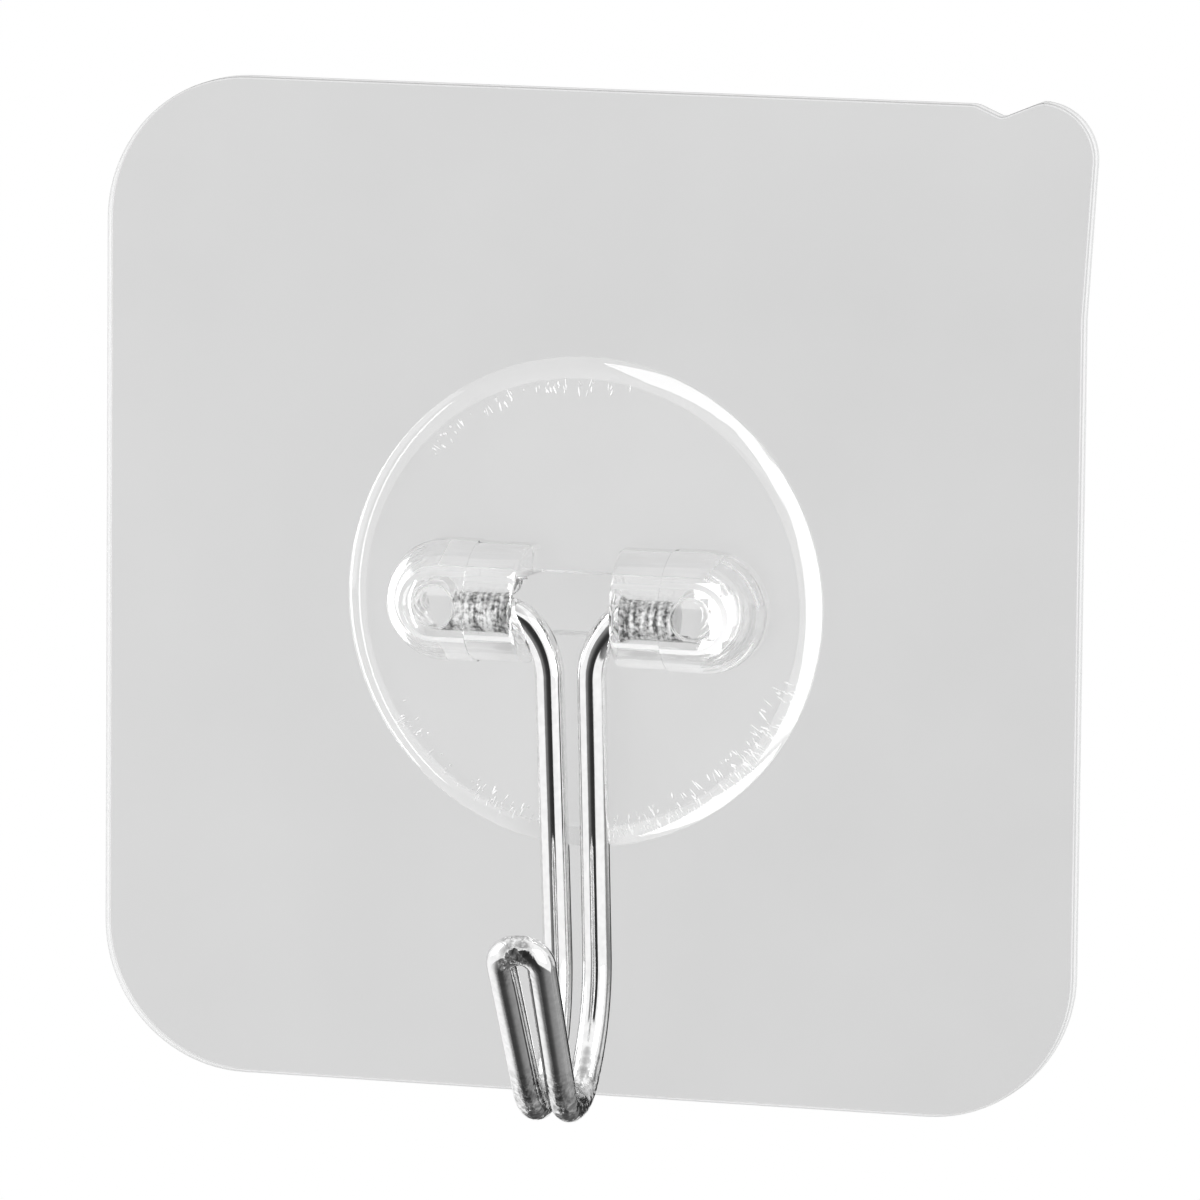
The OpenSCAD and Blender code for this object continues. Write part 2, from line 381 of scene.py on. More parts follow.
def glue_marks():
    """Node tree that strews short radial strokes over an arc of the rim."""
    rule, given = node_rule("glue_marks", {
        "Count": ("Int", 80),
        "Seed": ("Int", 1),
        "Arc Start": ("Float", 0.0),
        "Arc Sweep": ("Float", 1.0),
        "Radius": ("Float", 13 * MM),
        "Band": ("Float", 0.8 * MM),
        "Length": ("Float", 0.5 * MM),
        "Width": ("Float", stroke_width),
        "Height": ("Float", stroke_height),
        "Plane": ("Float", 0.0),
        "Centre": ("Float", 0.0),
        "Material": ("Material", None),
    })
    maths = rule.maths

    def chance(low, high, offset):
        seed = maths("ADD", given["Seed"], offset)
        made = rule.add("FunctionNodeRandomValue", {2: low, 3: high, "Seed": seed}, data_type="FLOAT")
        return made.outputs[1]

    crowding = 1.7
    slant = 0.35
    angle = maths("MULTIPLY_ADD", chance(0.0, 1.0, 1), given["Arc Sweep"], given["Arc Start"])
    inwards = maths("POWER", chance(0.0, 1.0, 2), crowding)
    reach = maths("SUBTRACT", given["Radius"], maths("MULTIPLY", inwards, given["Band"]))
    x = maths("MULTIPLY", reach, maths("COSINE", angle))
    z = maths("MULTIPLY_ADD", reach, maths("SINE", angle), given["Centre"])
    at = rule.add("ShaderNodeCombineXYZ", {0: x, 1: given["Plane"], 2: z}).outputs[0]
    points = rule.add("GeometryNodePoints", {"Count": given["Count"], "Position": at}).outputs[0]
    stroke = rule.add("GeometryNodeMeshIcoSphere", {"Radius": 1.0, "Subdivisions": 2}).outputs[0]
    wobble = maths("MULTIPLY_ADD", chance(-1.0, 1.0, 3), slant, maths("MULTIPLY", angle, -1.0))
    turn = rule.add("ShaderNodeCombineXYZ", {1: wobble}).outputs[0]
    grow = maths("POWER", chance(0.35, 1.0, 4), 2.0)
    scale = rule.add("ShaderNodeCombineXYZ", {
        0: maths("MULTIPLY", given["Length"], grow),
        1: given["Height"],
        2: maths("MULTIPLY", given["Width"], chance(0.5, 1.2, 5)),
    }).outputs[0]
    strewn = rule.add("GeometryNodeInstanceOnPoints", {
        "Points": points, "Instance": stroke, "Rotation": turn, "Scale": scale,
    }).outputs[0]
    real = rule.add("GeometryNodeRealizeInstances", {"Geometry": strewn}).outputs[0]
    smooth = rule.add("GeometryNodeSetShadeSmooth", {"Geometry": real}).outputs[0]
    coloured = rule.add("GeometryNodeSetMaterial", {"Geometry": smooth, "Material": given["Material"]})
    rule.add("NodeGroupOutput", {0: coloured.outputs[0]})
    return rule.tree


def air_pocket(name):
    """Air caught under the plate, which throws the light back white, with a grain."""
    s = Shade(name)
    grain = s.noise(s.place(), 5000.0, 3.0)
    colour = s.grey(s.spread(grain, NOISE_LOW, NOISE_HIGH, 0.93, 1.0))
    body = s.add("ShaderNodeBsdfPrincipled", {"Base Color": colour, "Metallic": 1.0, "Roughness": 0.4})
    return s.done(body.outputs[0])


def modifier_inputs(modifier, values):
    """Sets a node modifier's inputs by their sockets' identifiers."""
    for item in modifier.node_group.interface.items_tree:
        if item.in_out == "INPUT" and item.name in values:
            modifier[item.identifier] = values[item.name]


glue_film_material = bonded_film("glue_clear", tint=0.995, clouding=0.003)
glue_mark_material = air_pocket("air_pocket")
film = as_object("glue_film_dried", slab(glue_outline(), glue_front, glue_back))
combine(film, slab(slot_outline(), glue_front - past, glue_back + past), "DIFFERENCE")
stroke_tree = glue_marks()
glue_parts = [film]
for name, count, seed, start, sweep, radius, band, length in rim_strokes:
    strokes = bpy.data.objects.new("strokes_" + name, bpy.data.meshes.new("strokes_" + name))
    bpy.context.scene.collection.objects.link(strokes)
    modifier = strokes.modifiers.new("glue_marks", "NODES")
    modifier.node_group = stroke_tree
    modifier_inputs(modifier, {
        "Count": count, "Seed": seed, "Arc Start": math.radians(start), "Arc Sweep": math.radians(sweep),
        "Radius": radius, "Band": band, "Length": length, "Width": stroke_width, "Height": stroke_height,
        "Plane": (glue_front + glue_back) / 2, "Centre": base_z, "Material": glue_mark_material,
    })
    finished(strokes)
    glue_parts.append(strokes)
joined = bmesh.new()
for index, part in enumerate(glue_parts):
    count_before = len(joined.faces)
    joined.from_mesh(part.data)
    joined.faces.ensure_lookup_table()
    for face in joined.faces[count_before:]:
        face.material_index = min(index, 1)
glue = as_object("dried_glue", joined)
for part in glue_parts:
    bpy.data.objects.remove(part)
finish_as(glue, "glue_film", [glue_film_material, glue_mark_material])

# Moulded base.
# One clear injection moulding: a thin round plate with a bevelled rim and two bosses, hollow behind, with
# a slot, a bore and a round core hole in each. It is glued to the sheet and carries the wire.
pivot = Vector(frame["joints"][0]["pos_m"])
plate_back = -base_high.y
boss_top = -base_low.y
plate_r = base_high.x
plate_t = 0.75 * MM
plate_front = plate_back + plate_t
plate_sides = 240
rim_w = 1.6 * MM
rim_edge = 0.2 * MM
boss_r = 3.6 * MM
boss_root = 0.3 * MM
step_d = 0.1 * MM
step_x = 6 * MM
bar_x = 4.5 * MM
dome_x = 8 * MM
face_x = 2.5 * MM
face_draft = math.radians(6.5)
face_round = 0.3 * MM
window_soft = 0.16 * MM
core_r = 1.25 * MM
core_x = 7.85 * MM
core_roof = 0.6 * MM
bore_r = 0.95 * MM
mouth_r = 1.95 * MM
mouth_bend = 2 * MM
mouth_x = 4.036 * MM
hole_sides = 64
snap_back = 0.5 * MM
slot_roof = -pivot.y - snap_back
edge_round = 0.09 * MM
ring_pitch = 0.3 * MM
OUT_OF_WALL = Matrix.Rotation(math.pi / 2, 4, "X")
ALONG_X = Matrix.Rotation(math.pi / 2, 4, "Y")
PLATE, BOSS, BORE, EDGE, BOSS_SIDE, RIM = range(6)


def turned(profile, turn, sides):
    """Closed solid of revolution: profile points (radius, height), turned into place by a matrix."""
    bm = bmesh.new()
    angles = [2 * math.pi * k / sides for k in range(sides)]
    rings = []
    for radius, height in profile:
        if radius == 0:
            rings.append([bm.verts.new((0, 0, height))])
            continue
        rings.append([bm.verts.new((radius * math.cos(a), radius * math.sin(a), height)) for a in angles])
    for low, high in zip(rings, rings[1:]):
        for k in range(sides):
            one, two = low[k % len(low)], low[(k + 1) % len(low)]
            three, four = high[(k + 1) % len(high)], high[k % len(high)]
            bm.faces.new(list(dict.fromkeys([one, two, three, four])))
    bm.transform(turn)
    bmesh.ops.recalc_face_normals(bm, faces=bm.faces)
    return bm


def plate():
    """Round plate whose rim falls away in one curve to a thin edge."""
    fall = plate_t - rim_edge
    tilt = 2 * math.atan2(fall, rim_w)
    rim_run = rim_w - fall / math.tan(tilt)
    back_r, edge_r = 0.05 * MM, 0.06 * MM
    outline = rounded([
        (0, plate_back, 0),
        (plate_r, plate_back, back_r),
        (plate_r, plate_back + rim_edge, edge_r),
        (plate_r - rim_w + rim_run, plate_front, 0.95 * rim_run / math.tan(tilt / 2)),
        (0, plate_front, 0),
    ])
    profile = [(max(p.x, 0), p.y) for p in outline]
    return turned(profile, Matrix.Translation((0, 0, base_z)) @ OUT_OF_WALL, plate_sides)


def boss(side):
    """One boss: a rounded bar with a domed outer end, a leaning inner face and a small mould step."""
    crown_step, dome_step = 3, 5
    weld = 1e-7
    wall_top = (plate_front + boss_top) / 2.6
    layers = [("side", height) for height in (plate_back + boss_root, plate_front, wall_top)]
    layers += [("crown", math.radians(k * crown_step)) for k in range(90 // crown_step + 1)]
    stations = [("face", t) for t in (90, 60, 30, 0)] + [("bar", x) for x in (bar_x, step_x)]
    stations += [("dome", None)]
    centre_h = boss_top - boss_r
    bm = bmesh.new()
    rows = []
    for kind, value in layers:
        row = []
        for z_side in (1, -1):
            half = []
            for where, amount in stations:
                r = boss_r if where == "dome" else boss_r - step_d
                width = r * math.cos(value) if kind == "crown" else r
                height = centre_h + r * math.sin(value) if kind == "crown" else value
                if where == "face":
                    t = math.radians(amount)
                    lean = face_x + (height - plate_front) * math.tan(face_draft)
                    inset = min(face_round * (1 - math.cos(t)), width)
                    half.append((lean + face_round * (1 - math.sin(t)), width - inset, height))
                elif where == "bar":
                    half.append((amount, width, height))
                else:
                    half.append((step_x, width, height))
                    half.append((dome_x, width, height))
                    if z_side > 0:
                        for k in range(1, 180 // dome_step):
                            a = math.radians(90 - dome_step * k)
                            half.append((dome_x + width * math.cos(a), width * math.sin(a), height))
            if z_side > 0:
                row += half
            else:
                row += [(x, -z, h) for x, z, h in reversed(half)]
        rows.append([bm.verts.new((side * x, -h, base_z + z)) for x, z, h in row])
    for low, high in zip(rows, rows[1:]):
        for k in range(len(low) - 1):
            bm.faces.new((low[k], low[k + 1], high[k + 1], high[k]))
        bm.faces.new((low[-1], low[0], high[0], high[-1]))
    bm.faces.new(rows[0])
    bmesh.ops.remove_doubles(bm, verts=bm.verts, dist=weld)
    bmesh.ops.dissolve_degenerate(bm, edges=bm.edges, dist=weld)
    bmesh.ops.recalc_face_normals(bm, faces=bm.faces)
    return bm


def window_edge():
    """Softened front edge of the slot where it shows between the bosses."""
    low, high = plate_front - window_soft, plate_front + window_soft
    narrow = slot_w / 2
    wide = narrow + 2 * window_soft
    end_x = face_x - window_soft / 4
    section = ((-narrow, low), (narrow, low), (wide, high), (-wide, high))
    bm = bmesh.new()
    ends = [[bm.verts.new((x, -h, base_z + z)) for z, h in section] for x in (-end_x, end_x)]
    bm.faces.new(ends[0])
    bm.faces.new(reversed(ends[1]))
    for i in range(len(section)):
        bm.faces.new((ends[0][i - 1], ends[1][i - 1], ends[1][i], ends[0][i]))
    bmesh.ops.recalc_face_normals(bm, faces=bm.faces)
    return bm


def bearing(side):
    """Bore for one journal, with a mouth that flares round the bend of the wire."""
    flare = mouth_bend - bore_r
    start = math.asin((mouth_bend - mouth_r) / flare)
    steps = 12
    profile = [(0, 0), (mouth_r, 0)]
    for k in range(steps + 1):
        a = start + (math.pi / 2 - start) * k / steps
        profile.append((mouth_bend - flare * math.sin(a), mouth_x - flare * math.cos(a)))
    profile += [(bore_r, core_x), (0, core_x)]
    turn = Matrix.Translation(pivot) @ Matrix.Scale(side, 4, (1, 0, 0)) @ ALONG_X
    return turned(profile, turn, hole_sides)


def core_hole(side):
    """Round core hole at the end of one journal."""
    roof = boss_top - core_roof
    fillet = 0.3 * edge_round
    profile = [(0, plate_back - past), (core_r, plate_back - past), (core_r, roof - edge_round)]
    profile += [(core_r - fillet, roof - fillet), (core_r - edge_round, roof), (0, roof)]
    return turned(profile, Matrix.Translation((side * core_x, 0, base_z)) @ OUT_OF_WALL, hole_sides)


def base_finish(face):
    """Which of the base's materials a face has, by where it lies and which way it faces."""
    bore_reach = bore_r * 1.2
    plate_skin = 0.02 * MM
    depth = -face.center.y
    off_middle = abs(face.center.z - base_z)
    reach = math.hypot(face.center.x, off_middle)
    from_axis = Vector((face.center.y - pivot.y, face.center.z - pivot.z))
    facing_axis = -from_axis.normalized().dot(Vector((face.normal.y, face.normal.z)))
    near_bore = from_axis.length < bore_reach
    past_bore = from_axis.length > bore_reach
    upright = abs(face.normal.y) < 0.2 and depth < boss_top - boss_r
    slanted = 0.25 < abs(face.normal.y) < 0.95
    on_rim = reach > plate_r - rim_w * 0.9 and -0.995 < face.normal.y < -0.2
    beside_boss = depth > plate_front and off_middle > boss_r * 0.95
    in_window = abs(face.center.x) < face_x and off_middle < slot_w and abs(face.normal.y) < 0.9
    at_roof = abs(depth - slot_roof) < edge_round
    slot_line = at_roof and 0.8 < off_middle / (slot_w / 2) < 1.01
    slot_end_line = at_roof and abs(face.center.x) > core_x + core_r
    core_line = abs(depth - boss_top + core_roof) < edge_round
    if on_rim:
        return RIM
    if upright and beside_boss:
        return BOSS_SIDE
    if (upright and reach > plate_r * 0.99) or in_window:
        return EDGE
    if slanted and past_bore and (slot_line or slot_end_line or core_line):
        return EDGE
    if near_bore and abs(face.center.x) > face_x and facing_axis > 0.8:
        return BORE
    return BOSS if depth > plate_front + plate_skin else PLATE


def moulded_clear(name, clearness=1.0, rings=0.0, waves=0.3, haze=0.0, bending=1.49, gloss=0.0):
    """Clear moulded plastic with polished faces, turning marks round the domes and a faint waviness."""
    s = Shade(name)
    place = s.place()
    from_dome = s.vectors("SUBTRACT", s.vectors("ABSOLUTE", place), (dome_x, 0, 0))
    reach = s.vectors("LENGTH", s.vectors("MULTIPLY", from_dome, (1, 0, 1)))
    ripple = s.maths("SINE", s.maths("MULTIPLY", reach, 2 * math.pi / ring_pitch))
    past_centre = s.add("ShaderNodeSeparateXYZ", {0: from_dome}).outputs[0]
    marks = s.maths("MULTIPLY", ripple, s.spread(past_centre, 0.0, 1 * MM, 0.0, rings))
    swell = s.noise(place, 600.0, 1.0)
    height = s.maths("MULTIPLY_ADD", swell, waves, marks)
    bump = s.add("ShaderNodeBump", {"Height": height, "Strength": 1.0, "Distance": 0.01 * MM}).outputs[0]
    body = s.add("ShaderNodeBsdfPrincipled", {
        "Base Color": (1.0, 1.0, 1.0, 1.0), "Normal": bump, "IOR": bending,
        "Roughness": s.spread(swell, 0.0, 1.0, 0.0, haze) if haze else 0.0,
        "Transmission Weight": clearness,
        "Coat Weight": gloss, "Coat IOR": 1.9, "Coat Roughness": 0.05,
    })
    return s.done(body.outputs[0])


def rubbed_bore(name):
    """Wall of the bore where the wire lies against it and shows through, painted as the wire's metal with
    a painted reflection: a dark and light mottle in rings.
    """
    s = Shade(name)
    place = s.place()
    ring_scale = (3600.0, 350.0, 350.0)
    across = s.add("ShaderNodeMapping", {"Vector": place, "Scale": ring_scale}).outputs[0]
    painted_reflection = s.maths("ADD", s.noise(across, 1.0, 2.0), s.noise(place, 4200.0, 3.0))
    # painted reflection: the colour runs from near black to near white in rings, standing in for the light
    # and dark that the chrome reflects
    colour = s.grey(s.spread(painted_reflection, 0.82, 1.2, 0.08, 0.95))
    body = s.add("ShaderNodeBsdfPrincipled", {"Base Color": colour, "Metallic": 1.0, "Roughness": 0.35})
    return s.done(body.outputs[0])


base = as_object("moulded_base", plate())
for side in (-1, 1):
    combine(base, boss(side), "UNION")
combine(base, slab(slot_outline(), pivot.y + snap_back, -plate_back + past, edge_round), "DIFFERENCE")
combine(base, window_edge(), "DIFFERENCE")
for side in (-1, 1):
    combine(base, bearing(side), "DIFFERENCE")
    combine(base, core_hole(side), "DIFFERENCE")
for face in base.data.polygons:
    face.material_index = base_finish(face)
finish_as(base, "hook_base", [
    moulded_clear("clear_plate", bending=1.12),
    moulded_clear("clear_boss", clearness=0.98, rings=1.5, waves=1.0, haze=0.03, gloss=1.0),
    rubbed_bore("rubbed_bore"),
    cut_edge("moulded_edge", white=1.0, share=0.85),
    cut_edge("boss_side", white=0.98, share=0.06),
    moulded_clear("clear_rim", clearness=0.8, haze=0.08),
])

# Wire hook.
# One length of steel wire, bent to a J with two strands and a U at the tip, and then chromed. Its two
# ends are the journals that turn in the bosses of the base.
wire_r = 0.9 * MM
plating_gap = 0.01 * MM
wire_end = 6.6 * MM
bend_r = 2 * MM
bend_turn = math.radians(52)
bend_flat = 0.3 * MM
leg_bend_r = 4.6 * MM
leg_l = 20.7 * MM
heel_r = 10 * MM
heel_turn = math.radians(40)
heel_flat = 0.8 * MM
toe_r = 2.6 * MM
front_lean = math.radians(24)
front_l = 9.7 * MM
tip_flat = 0.3 * MM
rest_gap = 0.1 * MM
groove_pitch = 0.33 * MM
groove_depth = 0.03 * MM
journal_l = 2.6 * MM
wire_sharp = math.radians(50)
leg_x = wire_r + 0.4 * MM
heel_x = wire_r + 0.3 * MM
toe_x = wire_r + 0.05 * MM
tip_x = wire_r + 0.35 * MM
tip_r = tip_x - tip_flat / 2
toe_turn = math.pi - heel_turn - front_lean
bend_x = leg_x + bend_r * math.sin(bend_turn) + bend_flat * math.cos(bend_turn)
bend_x += leg_bend_r * (1 - math.sin(bend_turn))
bend_trim = bend_r * math.tan(bend_turn / 2)
leg_trim = leg_bend_r * math.tan((math.pi / 2 - bend_turn) / 2)
heel_trim = heel_r * math.tan(heel_turn / 2)
toe_trim = toe_r * math.tan(toe_turn / 2)
leg_run = bend_trim + bend_flat + leg_trim
heel_run = heel_trim + heel_flat + toe_trim
front_run = toe_trim + front_l + tip_r
bend_p = Vector((bend_x - bend_trim, 0, 0))
leg_p = bend_p - leg_run * Vector((math.cos(bend_turn), math.sin(bend_turn), 0))
heel_p = Vector((heel_x, -leg_l - heel_trim, 0))
toe_p = Vector((toe_x, heel_p.y - heel_run * math.cos(heel_turn), heel_run * math.sin(heel_turn)))
tip_y = toe_p.y + front_run * math.cos(front_lean)
tip_z = toe_p.z + front_run * math.sin(front_lean)
tip_p = Vector((tip_x, tip_y, tip_z))
pivot_h = sheet_low.y - pivot.y
heel_rise = pivot_h - wire_r - rest_gap - heel_r
hang_lean = math.atan2(heel_r, leg_l) + math.asin(heel_rise / math.hypot(heel_r, leg_l))
half_corners = [(Vector((wire_end, 0, 0)), 0), (bend_p, bend_r), (leg_p, leg_bend_r), (heel_p, heel_r)]
half_corners += [(toe_p, toe_r), (tip_p, tip_r)]
mirror_x = Matrix.Scale(-1, 3, (1, 0, 0))
wire_corners = half_corners + [(mirror_x @ p, r) for p, r in reversed(half_corners)]
hang = Matrix.Translation(pivot) @ OUT_OF_WALL @ Matrix.Rotation(hang_lean, 4, "X")


def bent_wire():
    """Node tree that fillets a polyline at its corners and draws a round wire along it."""
    rule, given = node_rule("bent_wire", {
        "Geometry": ("Geometry", None),
        "Wire Radius": ("Float", wire_r),
        "Ring Spacing": ("Float", 0.12 * MM),
        "Sides": ("Int", 48),
        "Journal Length": ("Float", journal_l),
        "Groove Pitch": ("Float", groove_pitch),
        "Groove Depth": ("Float", groove_depth),
        "Material": ("Material", None),
    })
    maths = rule.maths

    def stored(geometry, label, value):
        return rule.add("GeometryNodeStoreNamedAttribute", {
            "Geometry": geometry, "Name": label, "Value": value,
        }, data_type="FLOAT", domain="POINT").outputs[0]

    def recalled(label):
        return rule.add("GeometryNodeInputNamedAttribute", {"Name": label}, data_type="FLOAT").outputs[0]

    line = rule.add("GeometryNodeMeshToCurve", {"Mesh": given["Geometry"]}).outputs[0]
    bent = rule.add("GeometryNodeFilletCurve", {
        "Curve": line, "Count": 40, "Radius": recalled("bend_radius"),
    }, mode="POLY").outputs[0]
    even = rule.add("GeometryNodeResampleCurve", {
        "Curve": bent, "Length": given["Ring Spacing"],
    }, mode="LENGTH").outputs[0]
    along = rule.add("GeometryNodeSplineParameter").outputs["Length"]
    total = rule.add("GeometryNodeSplineLength").outputs["Length"]
    marked = stored(even, "along", along)
    marked = stored(marked, "to_end", maths("MINIMUM", along, maths("SUBTRACT", total, along)))
    ring = rule.add("GeometryNodeCurvePrimitiveCircle", {
        "Resolution": given["Sides"], "Radius": given["Wire Radius"],
    }, mode="RADIUS").outputs[0]
    ring = stored(ring, "around", rule.add("GeometryNodeSplineParameter").outputs["Factor"])
    body = rule.add("GeometryNodeCurveToMesh", {
        "Curve": marked, "Profile Curve": ring, "Fill Caps": True,
    }).outputs[0]
    reach = recalled("to_end")
    fade_from = maths("MULTIPLY", given["Journal Length"], 0.85)
    inside = rule.spread(reach, given["Journal Length"], fade_from)
    phase = maths("MULTIPLY", maths("DIVIDE", reach, given["Groove Pitch"]), 2 * math.pi)
    groove = maths("MULTIPLY_ADD", maths("SINE", phase), -0.5, 0.5)
    depth = maths("MULTIPLY", maths("MULTIPLY", groove, inside), given["Groove Depth"])
    inwards = rule.add("ShaderNodeVectorMath", {
        0: rule.add("GeometryNodeInputNormal").outputs[0], "Scale": maths("MULTIPLY", depth, -1.0),
    }, operation="SCALE").outputs[0]
    shaped = rule.add("GeometryNodeSetPosition", {"Geometry": body, "Offset": inwards}).outputs[0]
    real = rule.add("GeometryNodeRealizeInstances", {"Geometry": shaped}).outputs[0]
    coloured = rule.add("GeometryNodeSetMaterial", {"Geometry": real, "Material": given["Material"]})
    rule.add("NodeGroupOutput", {0: coloured.outputs[0]})
    return rule.tree


def chromed(name):
    """Bright plating with fine lines along the drawn wire, dents where it was bent, and a painted dark
    reflection mottled over the J's bottom bend and the tip's crown.
    """
    s = Shade(name)
    low_bend_top, low_bend_foot = -26.5 * MM, -28.8 * MM
    tip_back, tip_front = -13.5 * MM, -14.2 * MM
    crown_edge, crown_middle = 1.1 * MM, 0.5 * MM
    along = s.add("ShaderNodeAttribute", attribute_name="along").outputs["Fac"]
    around = s.add("ShaderNodeAttribute", attribute_name="around").outputs["Fac"]
    to_end = s.add("ShaderNodeAttribute", attribute_name="to_end").outputs["Fac"]
    place = s.place()
    streaked = s.add("ShaderNodeCombineXYZ", {
        0: s.maths("MULTIPLY", along, 60.0), 1: s.maths("MULTIPLY", around, 34.0),
    }).outputs[0]
    lines = s.noise(streaked, 1.0, 3.0)
    mottle = s.noise(place, 2600.0, 2.0)
    across, front, height = s.add("ShaderNodeSeparateXYZ", {0: place}).outputs
    low_bend = s.spread(height, low_bend_top, low_bend_foot)
    tip = s.spread(front, tip_back, tip_front)
    middle = s.spread(s.maths("ABSOLUTE", across), crown_edge, crown_middle)
    # bent marks the J's bottom bend and the tip's crown: it deepens the dents there and sets the painted
    # dark reflection below
    bent = s.maths("MAXIMUM", low_bend, s.maths("MULTIPLY", tip, middle))
    dents = s.maths("MULTIPLY", mottle, s.spread(bent, 0.0, 1.0, 0.25, 7.0))
    relief = s.maths("MULTIPLY_ADD", lines, 0.4, dents)
    bump = s.add("ShaderNodeBump", {"Height": relief, "Strength": 0.3, "Distance": 0.03 * MM}).outputs[0]
    wear = s.spread(lines, NOISE_LOW, NOISE_HIGH, 0.03, 0.1)
    sawn = s.spread(to_end, 0.02 * MM, 0.01 * MM, 0.0, 0.6)
    # painted dark reflection: the colour goes down to 0.4 at the bends that bent marks, against 0.86
    # elsewhere, where it varies a little at random
    painted_dark_reflection = s.spread(bent, 0.0, 1.0, 0.86, 0.4)
    colour = s.grey(s.spread(mottle, 0.36, 0.64, painted_dark_reflection, 0.95))
    body = s.add("ShaderNodeBsdfPrincipled", {
        "Base Color": colour, "Metallic": 1.0, "Roughness": s.maths("MAXIMUM", wear, sawn), "Normal": bump,
    })
    return s.done(body.outputs[0])


wire_line = bpy.data.meshes.new("wire_line")
wire_edges = [(i, i + 1) for i in range(len(wire_corners) - 1)]
wire_line.from_pydata([hang @ p for p, r in wire_corners], wire_edges, [])
bends = wire_line.attributes.new("bend_radius", "FLOAT", "POINT")
for i, (p, r) in enumerate(wire_corners):
    bends.data[i].value = r
chrome = chromed("bright_plating")
wire = bpy.data.objects.new("bent_wire_hook", wire_line)
bpy.context.scene.collection.objects.link(wire)
modifier = wire.modifiers.new("bent_wire", "NODES")
modifier.node_group = bent_wire()
modifier_inputs(modifier, {
    "Wire Radius": wire_r - plating_gap, "Groove Pitch": groove_pitch, "Material": chrome,
})
finished(wire, wire_sharp)
finish_as(wire, "wire_hook", [chrome])

# Studio.
# A white sweep with soft boxes and dark cards round the hook, and the camera a little above and to the
# right of it. The cards show only in the gloss of the wire and the base, or through the clear base.
camera_azimuth = math.radians(16.532)
camera_height = math.radians(8.320)
camera_roll = math.radians(0.549)
camera_distance = 651.525 * MM
camera_lens = 330.746
aim_right = 0.843 * MM
aim_up = -0.256 * MM
sky_light, sky_white = 0.75, 1.0
floor_z = -0.8
floor_reach = 15
floor_thick = 0.01
floor_paint = 0.8
floor_glow = 0.4
near_lamp = 0.14
near_radiance = 6.5


def direction(azimuth, height):
    """Unit vector at an angle round the hook, from its front to its right, and a height above it."""
    level = math.cos(height)
    return Vector((math.sin(azimuth) * level, -math.cos(azimuth) * level, math.sin(height)))


camera = bpy.data.objects.new("camera", bpy.data.cameras.new("camera"))
bpy.context.scene.collection.objects.link(camera)
camera.data.lens = camera_lens
camera.data.sensor_width = 36
camera.data.clip_start = 0.01
camera.data.clip_end = 20
back = direction(camera_azimuth, camera_height)
level = Vector((math.cos(camera_azimuth), math.sin(camera_azimuth), 0))
upright = back.cross(level)
right = math.cos(camera_roll) * level + math.sin(camera_roll) * upright
up = -math.sin(camera_roll) * level + math.cos(camera_roll) * upright
camera_turn = Matrix((right, up, back)).transposed().to_4x4()
aim = Vector((0, sheet_low.y, 0)) + aim_right * right + aim_up * up
camera.matrix_world = Matrix.Translation(aim + camera_distance * back) @ camera_turn
bpy.context.scene.camera = camera


def seen_directly(nodes):
    """A value of 1 on rays that look at the background: from the camera, off gloss or through glass."""
    path = nodes.add("ShaderNodeLightPath").outputs
    either = nodes.maths("MAXIMUM", path["Is Camera Ray"], path["Is Glossy Ray"])
    return nodes.maths("MAXIMUM", either, path["Is Transmission Ray"])


world = bpy.data.worlds.new("white_studio")
bpy.context.scene.world = world
world.use_nodes = True
sky = NodeTree(world.node_tree)
background = sky.tree.nodes["Background"].inputs
background["Color"].default_value = (1, 1, 1, 1)
sky_strength = sky.spread(seen_directly(sky), 0.0, 1.0, sky_light, sky_white)
sky.tree.links.new(sky_strength, background["Strength"])

floor_corners = [(-1, -1), (1, -1), (1, 1), (-1, 1)]
floor = as_object("floor", slab([Vector(p) * floor_reach for p in floor_corners], 0, floor_thick))
floor.data.transform(Matrix.Translation((0, 0, floor_z)) @ Matrix.Rotation(-math.pi / 2, 4, "X"))
pale = Shade("pale_floor")
shine = pale.add("ShaderNodeEmission", {
    "Color": (1, 1, 1, 1), "Strength": pale.maths("MULTIPLY", seen_directly(pale), floor_glow),
})
paint = pale.add("ShaderNodeBsdfDiffuse", {"Color": (floor_paint, floor_paint, floor_paint, 1)})
both = pale.add("ShaderNodeAddShader", {0: shine.outputs[0], 1: paint.outputs[0]})
floor.data.materials.append(pale.done(both.outputs[0]))


def soft_box(name, azimuth, height, distance, size, radiance):
    """An oblong lamp that faces the hook and stays out of the camera's sight."""
    data = bpy.data.lights.new(name, "AREA")
    data.shape = "RECTANGLE"
    data.size, data.size_y = size
    data.energy = radiance * math.pi * size[0] * size[1]
    lamp = bpy.data.objects.new(name, data)
    bpy.context.scene.collection.objects.link(lamp)
    way = direction(math.radians(azimuth), math.radians(height))
    facing = way.to_track_quat("Z", "Y").to_matrix().to_4x4()
    lamp.matrix_world = Matrix.Translation(way * distance) @ facing
    lamp.visible_camera = False
    return lamp


def card_mesh(azimuths, heights, distance):
    """A patch of a ball round the hook."""
    steps = 24

    def angles(ends):
        return [math.radians(ends[0] + (ends[1] - ends[0]) * i / steps) for i in range(steps + 1)]

    bm = bmesh.new()
    rows = []
    for a in angles(azimuths):
        rows.append([bm.verts.new(direction(a, e) * distance) for e in angles(heights)])
    for one, two in zip(rows, rows[1:]):
        for j in range(steps):
            bm.faces.new((one[j], two[j], two[j + 1], one[j + 1]))
    return bm


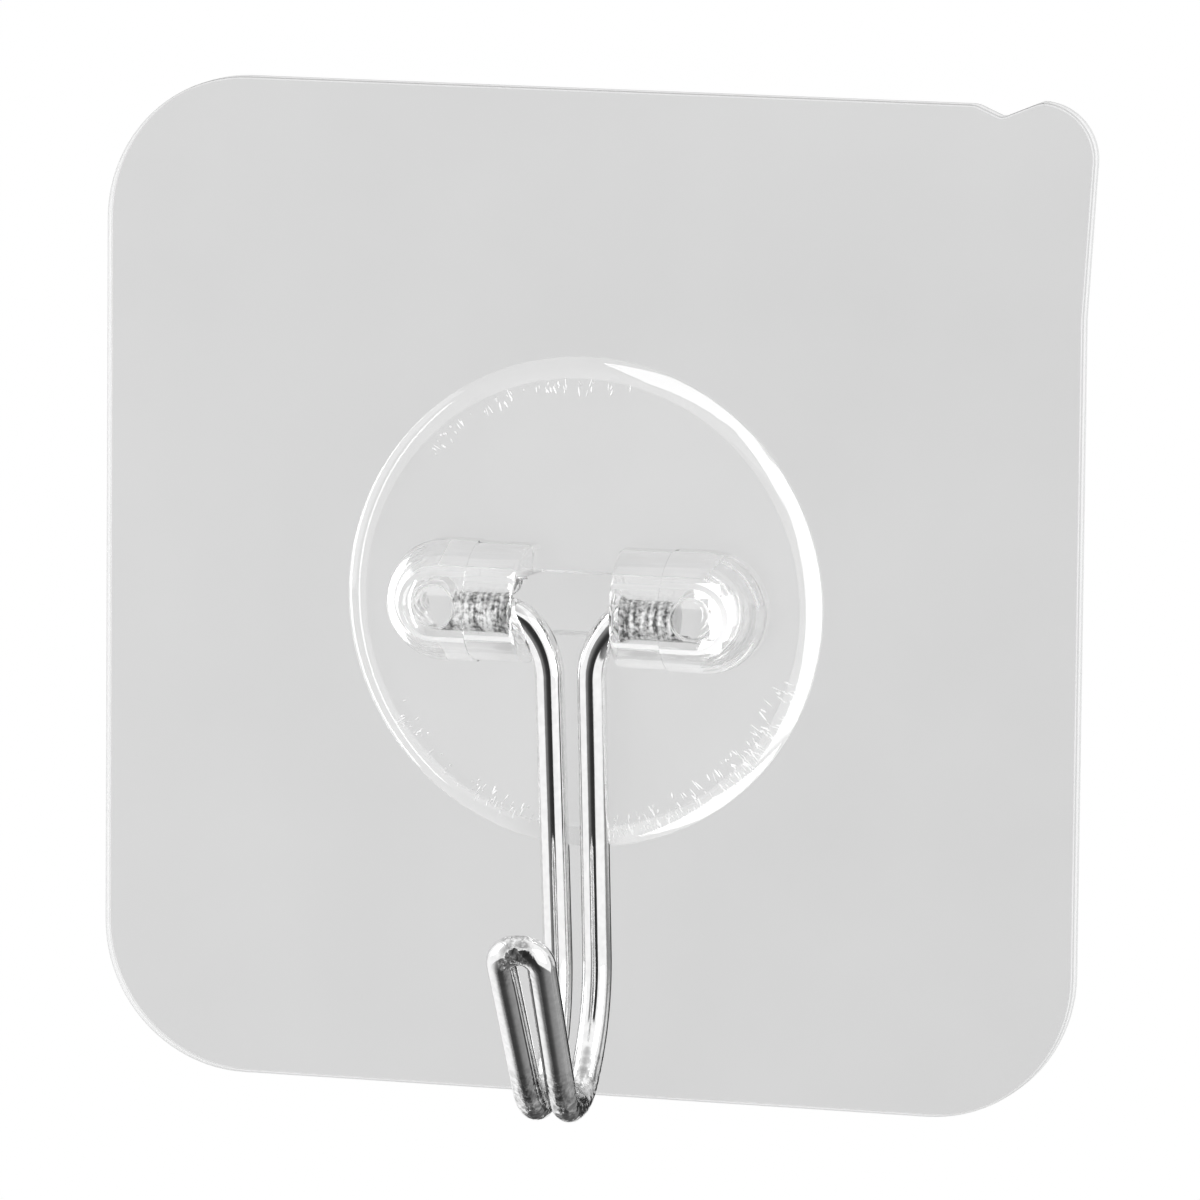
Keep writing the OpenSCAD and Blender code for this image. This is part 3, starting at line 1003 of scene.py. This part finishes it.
def card(name, azimuths, heights, distance, shades, seen_by="glossy", border=5):
    """A card bent round the hook, shaded from its left to its right side, which one kind of ray sees.

    The card thins out over some degrees at its border, except where it closes round the hook.
    """
    made = as_object(name, card_mesh(azimuths, heights, distance))
    s = Shade(name)
    place = s.place()
    x, y, z = s.add("ShaderNodeSeparateXYZ", {0: place}).outputs
    turn_to = s.maths("ARCTAN2", x, s.maths("MULTIPLY", y, -1.0))
    across = s.spread(turn_to, math.radians(azimuths[0]), math.radians(azimuths[1]))
    lift = s.maths("ARCTAN2", z, s.vectors("LENGTH", s.vectors("MULTIPLY", place, (1, 1, 0))))
    upwards = s.spread(lift, math.radians(heights[0]), math.radians(heights[1]))
    fade = s.add("ShaderNodeFloatCurve", {"Value": across})
    curve = fade.mapping.curves[0]
    top = max(shades)
    for i, value in enumerate(shades):
        where = i / (len(shades) - 1)
        if where in (0, 1):
            curve.points[-1 if where else 0].location = (where, value / top)
        else:
            curve.points.new(where, value / top)
    strength = s.maths("MULTIPLY", fade.outputs[0], top)
    body = s.add("ShaderNodeEmission", {"Color": (1, 1, 1, 1), "Strength": strength}).outputs[0]
    for part, (low, high) in ((across, azimuths), (upwards, heights)):
        if high - low == 360:
            continue
        near = s.maths("MINIMUM", part, s.maths("SUBTRACT", 1.0, part))
        solid = s.spread(near, 0.0, border / (high - low), ease="SMOOTHSTEP")
        body = s.mixed(solid, s.clear((1, 1, 1, 1)), body)
    made.data.materials.append(s.done(body))
    for ray in ("camera", "diffuse", "glossy", "transmission", "volume_scatter", "shadow"):
        setattr(made, "visible_" + ray, ray == seen_by)


soft_box("right_box", 60, 10, 0.6, (0.35, 0.6), 2.0)
soft_box("left_box", -80, 15, 0.6, (0.3, 0.5), 1.5)

low_shades = (0.1, 0.15, 1.0, 1.0, 0.6, 0.07, 0.05, 0.08, 0.22, 0.3, 0.4, 0.2, 0.1)
card("front_card", (-34, 28), (-62, 15), 0.15, (0.3, 0.2, 0.05, 0.03, 0.05))
card("low_card", (-180, 180), (-89, -38), 0.16, low_shades)
card("under_card", (-180, 180), (-89, -71), 0.155, (0.2, 0.1, 0.25, 0.1, 0.2))
card("top_card", (-45, 45), (32, 88), 0.16, (0.9, 0.7, 0.6, 0.7, 0.9))
card("side_card", (98, 120), (-46, 12), 0.16, (0.6, 0.3, 0.6))
card("right_low_card", (114, 152), (-46, -15), 0.16, (0.35, 0.35))
card("back_card", (146, 178), (-46, 12), 0.16, (0.1, 0.04, 0.1))
card("glow_card", (-90, 90), (-80, 80), 0.3, (1.7, 1.2, 1.3, 1.15, 1.05, 1.6), "transmission")

base_only = bpy.data.collections.new("base_only")
base_only.objects.link(base)
for name, azimuth, height, size in (
    ("rim_box", 42, -5, (0.113, 0.224)),
    ("rim_box_above", 20, 48, (0.112, 0.073)),
    ("rim_box_below", 32, -58, (0.084, 0.067)),
    ("edge_box", -122, -5, (0.112, 0.168)),
    ("left_strip", -57, -5, (0.012, 0.2)),
    ("left_edge_strip", -86, -5, (0.016, 0.2)),
):
    lamp = soft_box(name, azimuth, height, near_lamp, size, near_radiance)
    lamp.light_linking.receiver_collection = base_only
    lamp.visible_transmission = False
    lamp.visible_diffuse = name == "rim_box_below"

bpy.context.scene.view_settings.view_transform = "Standard"
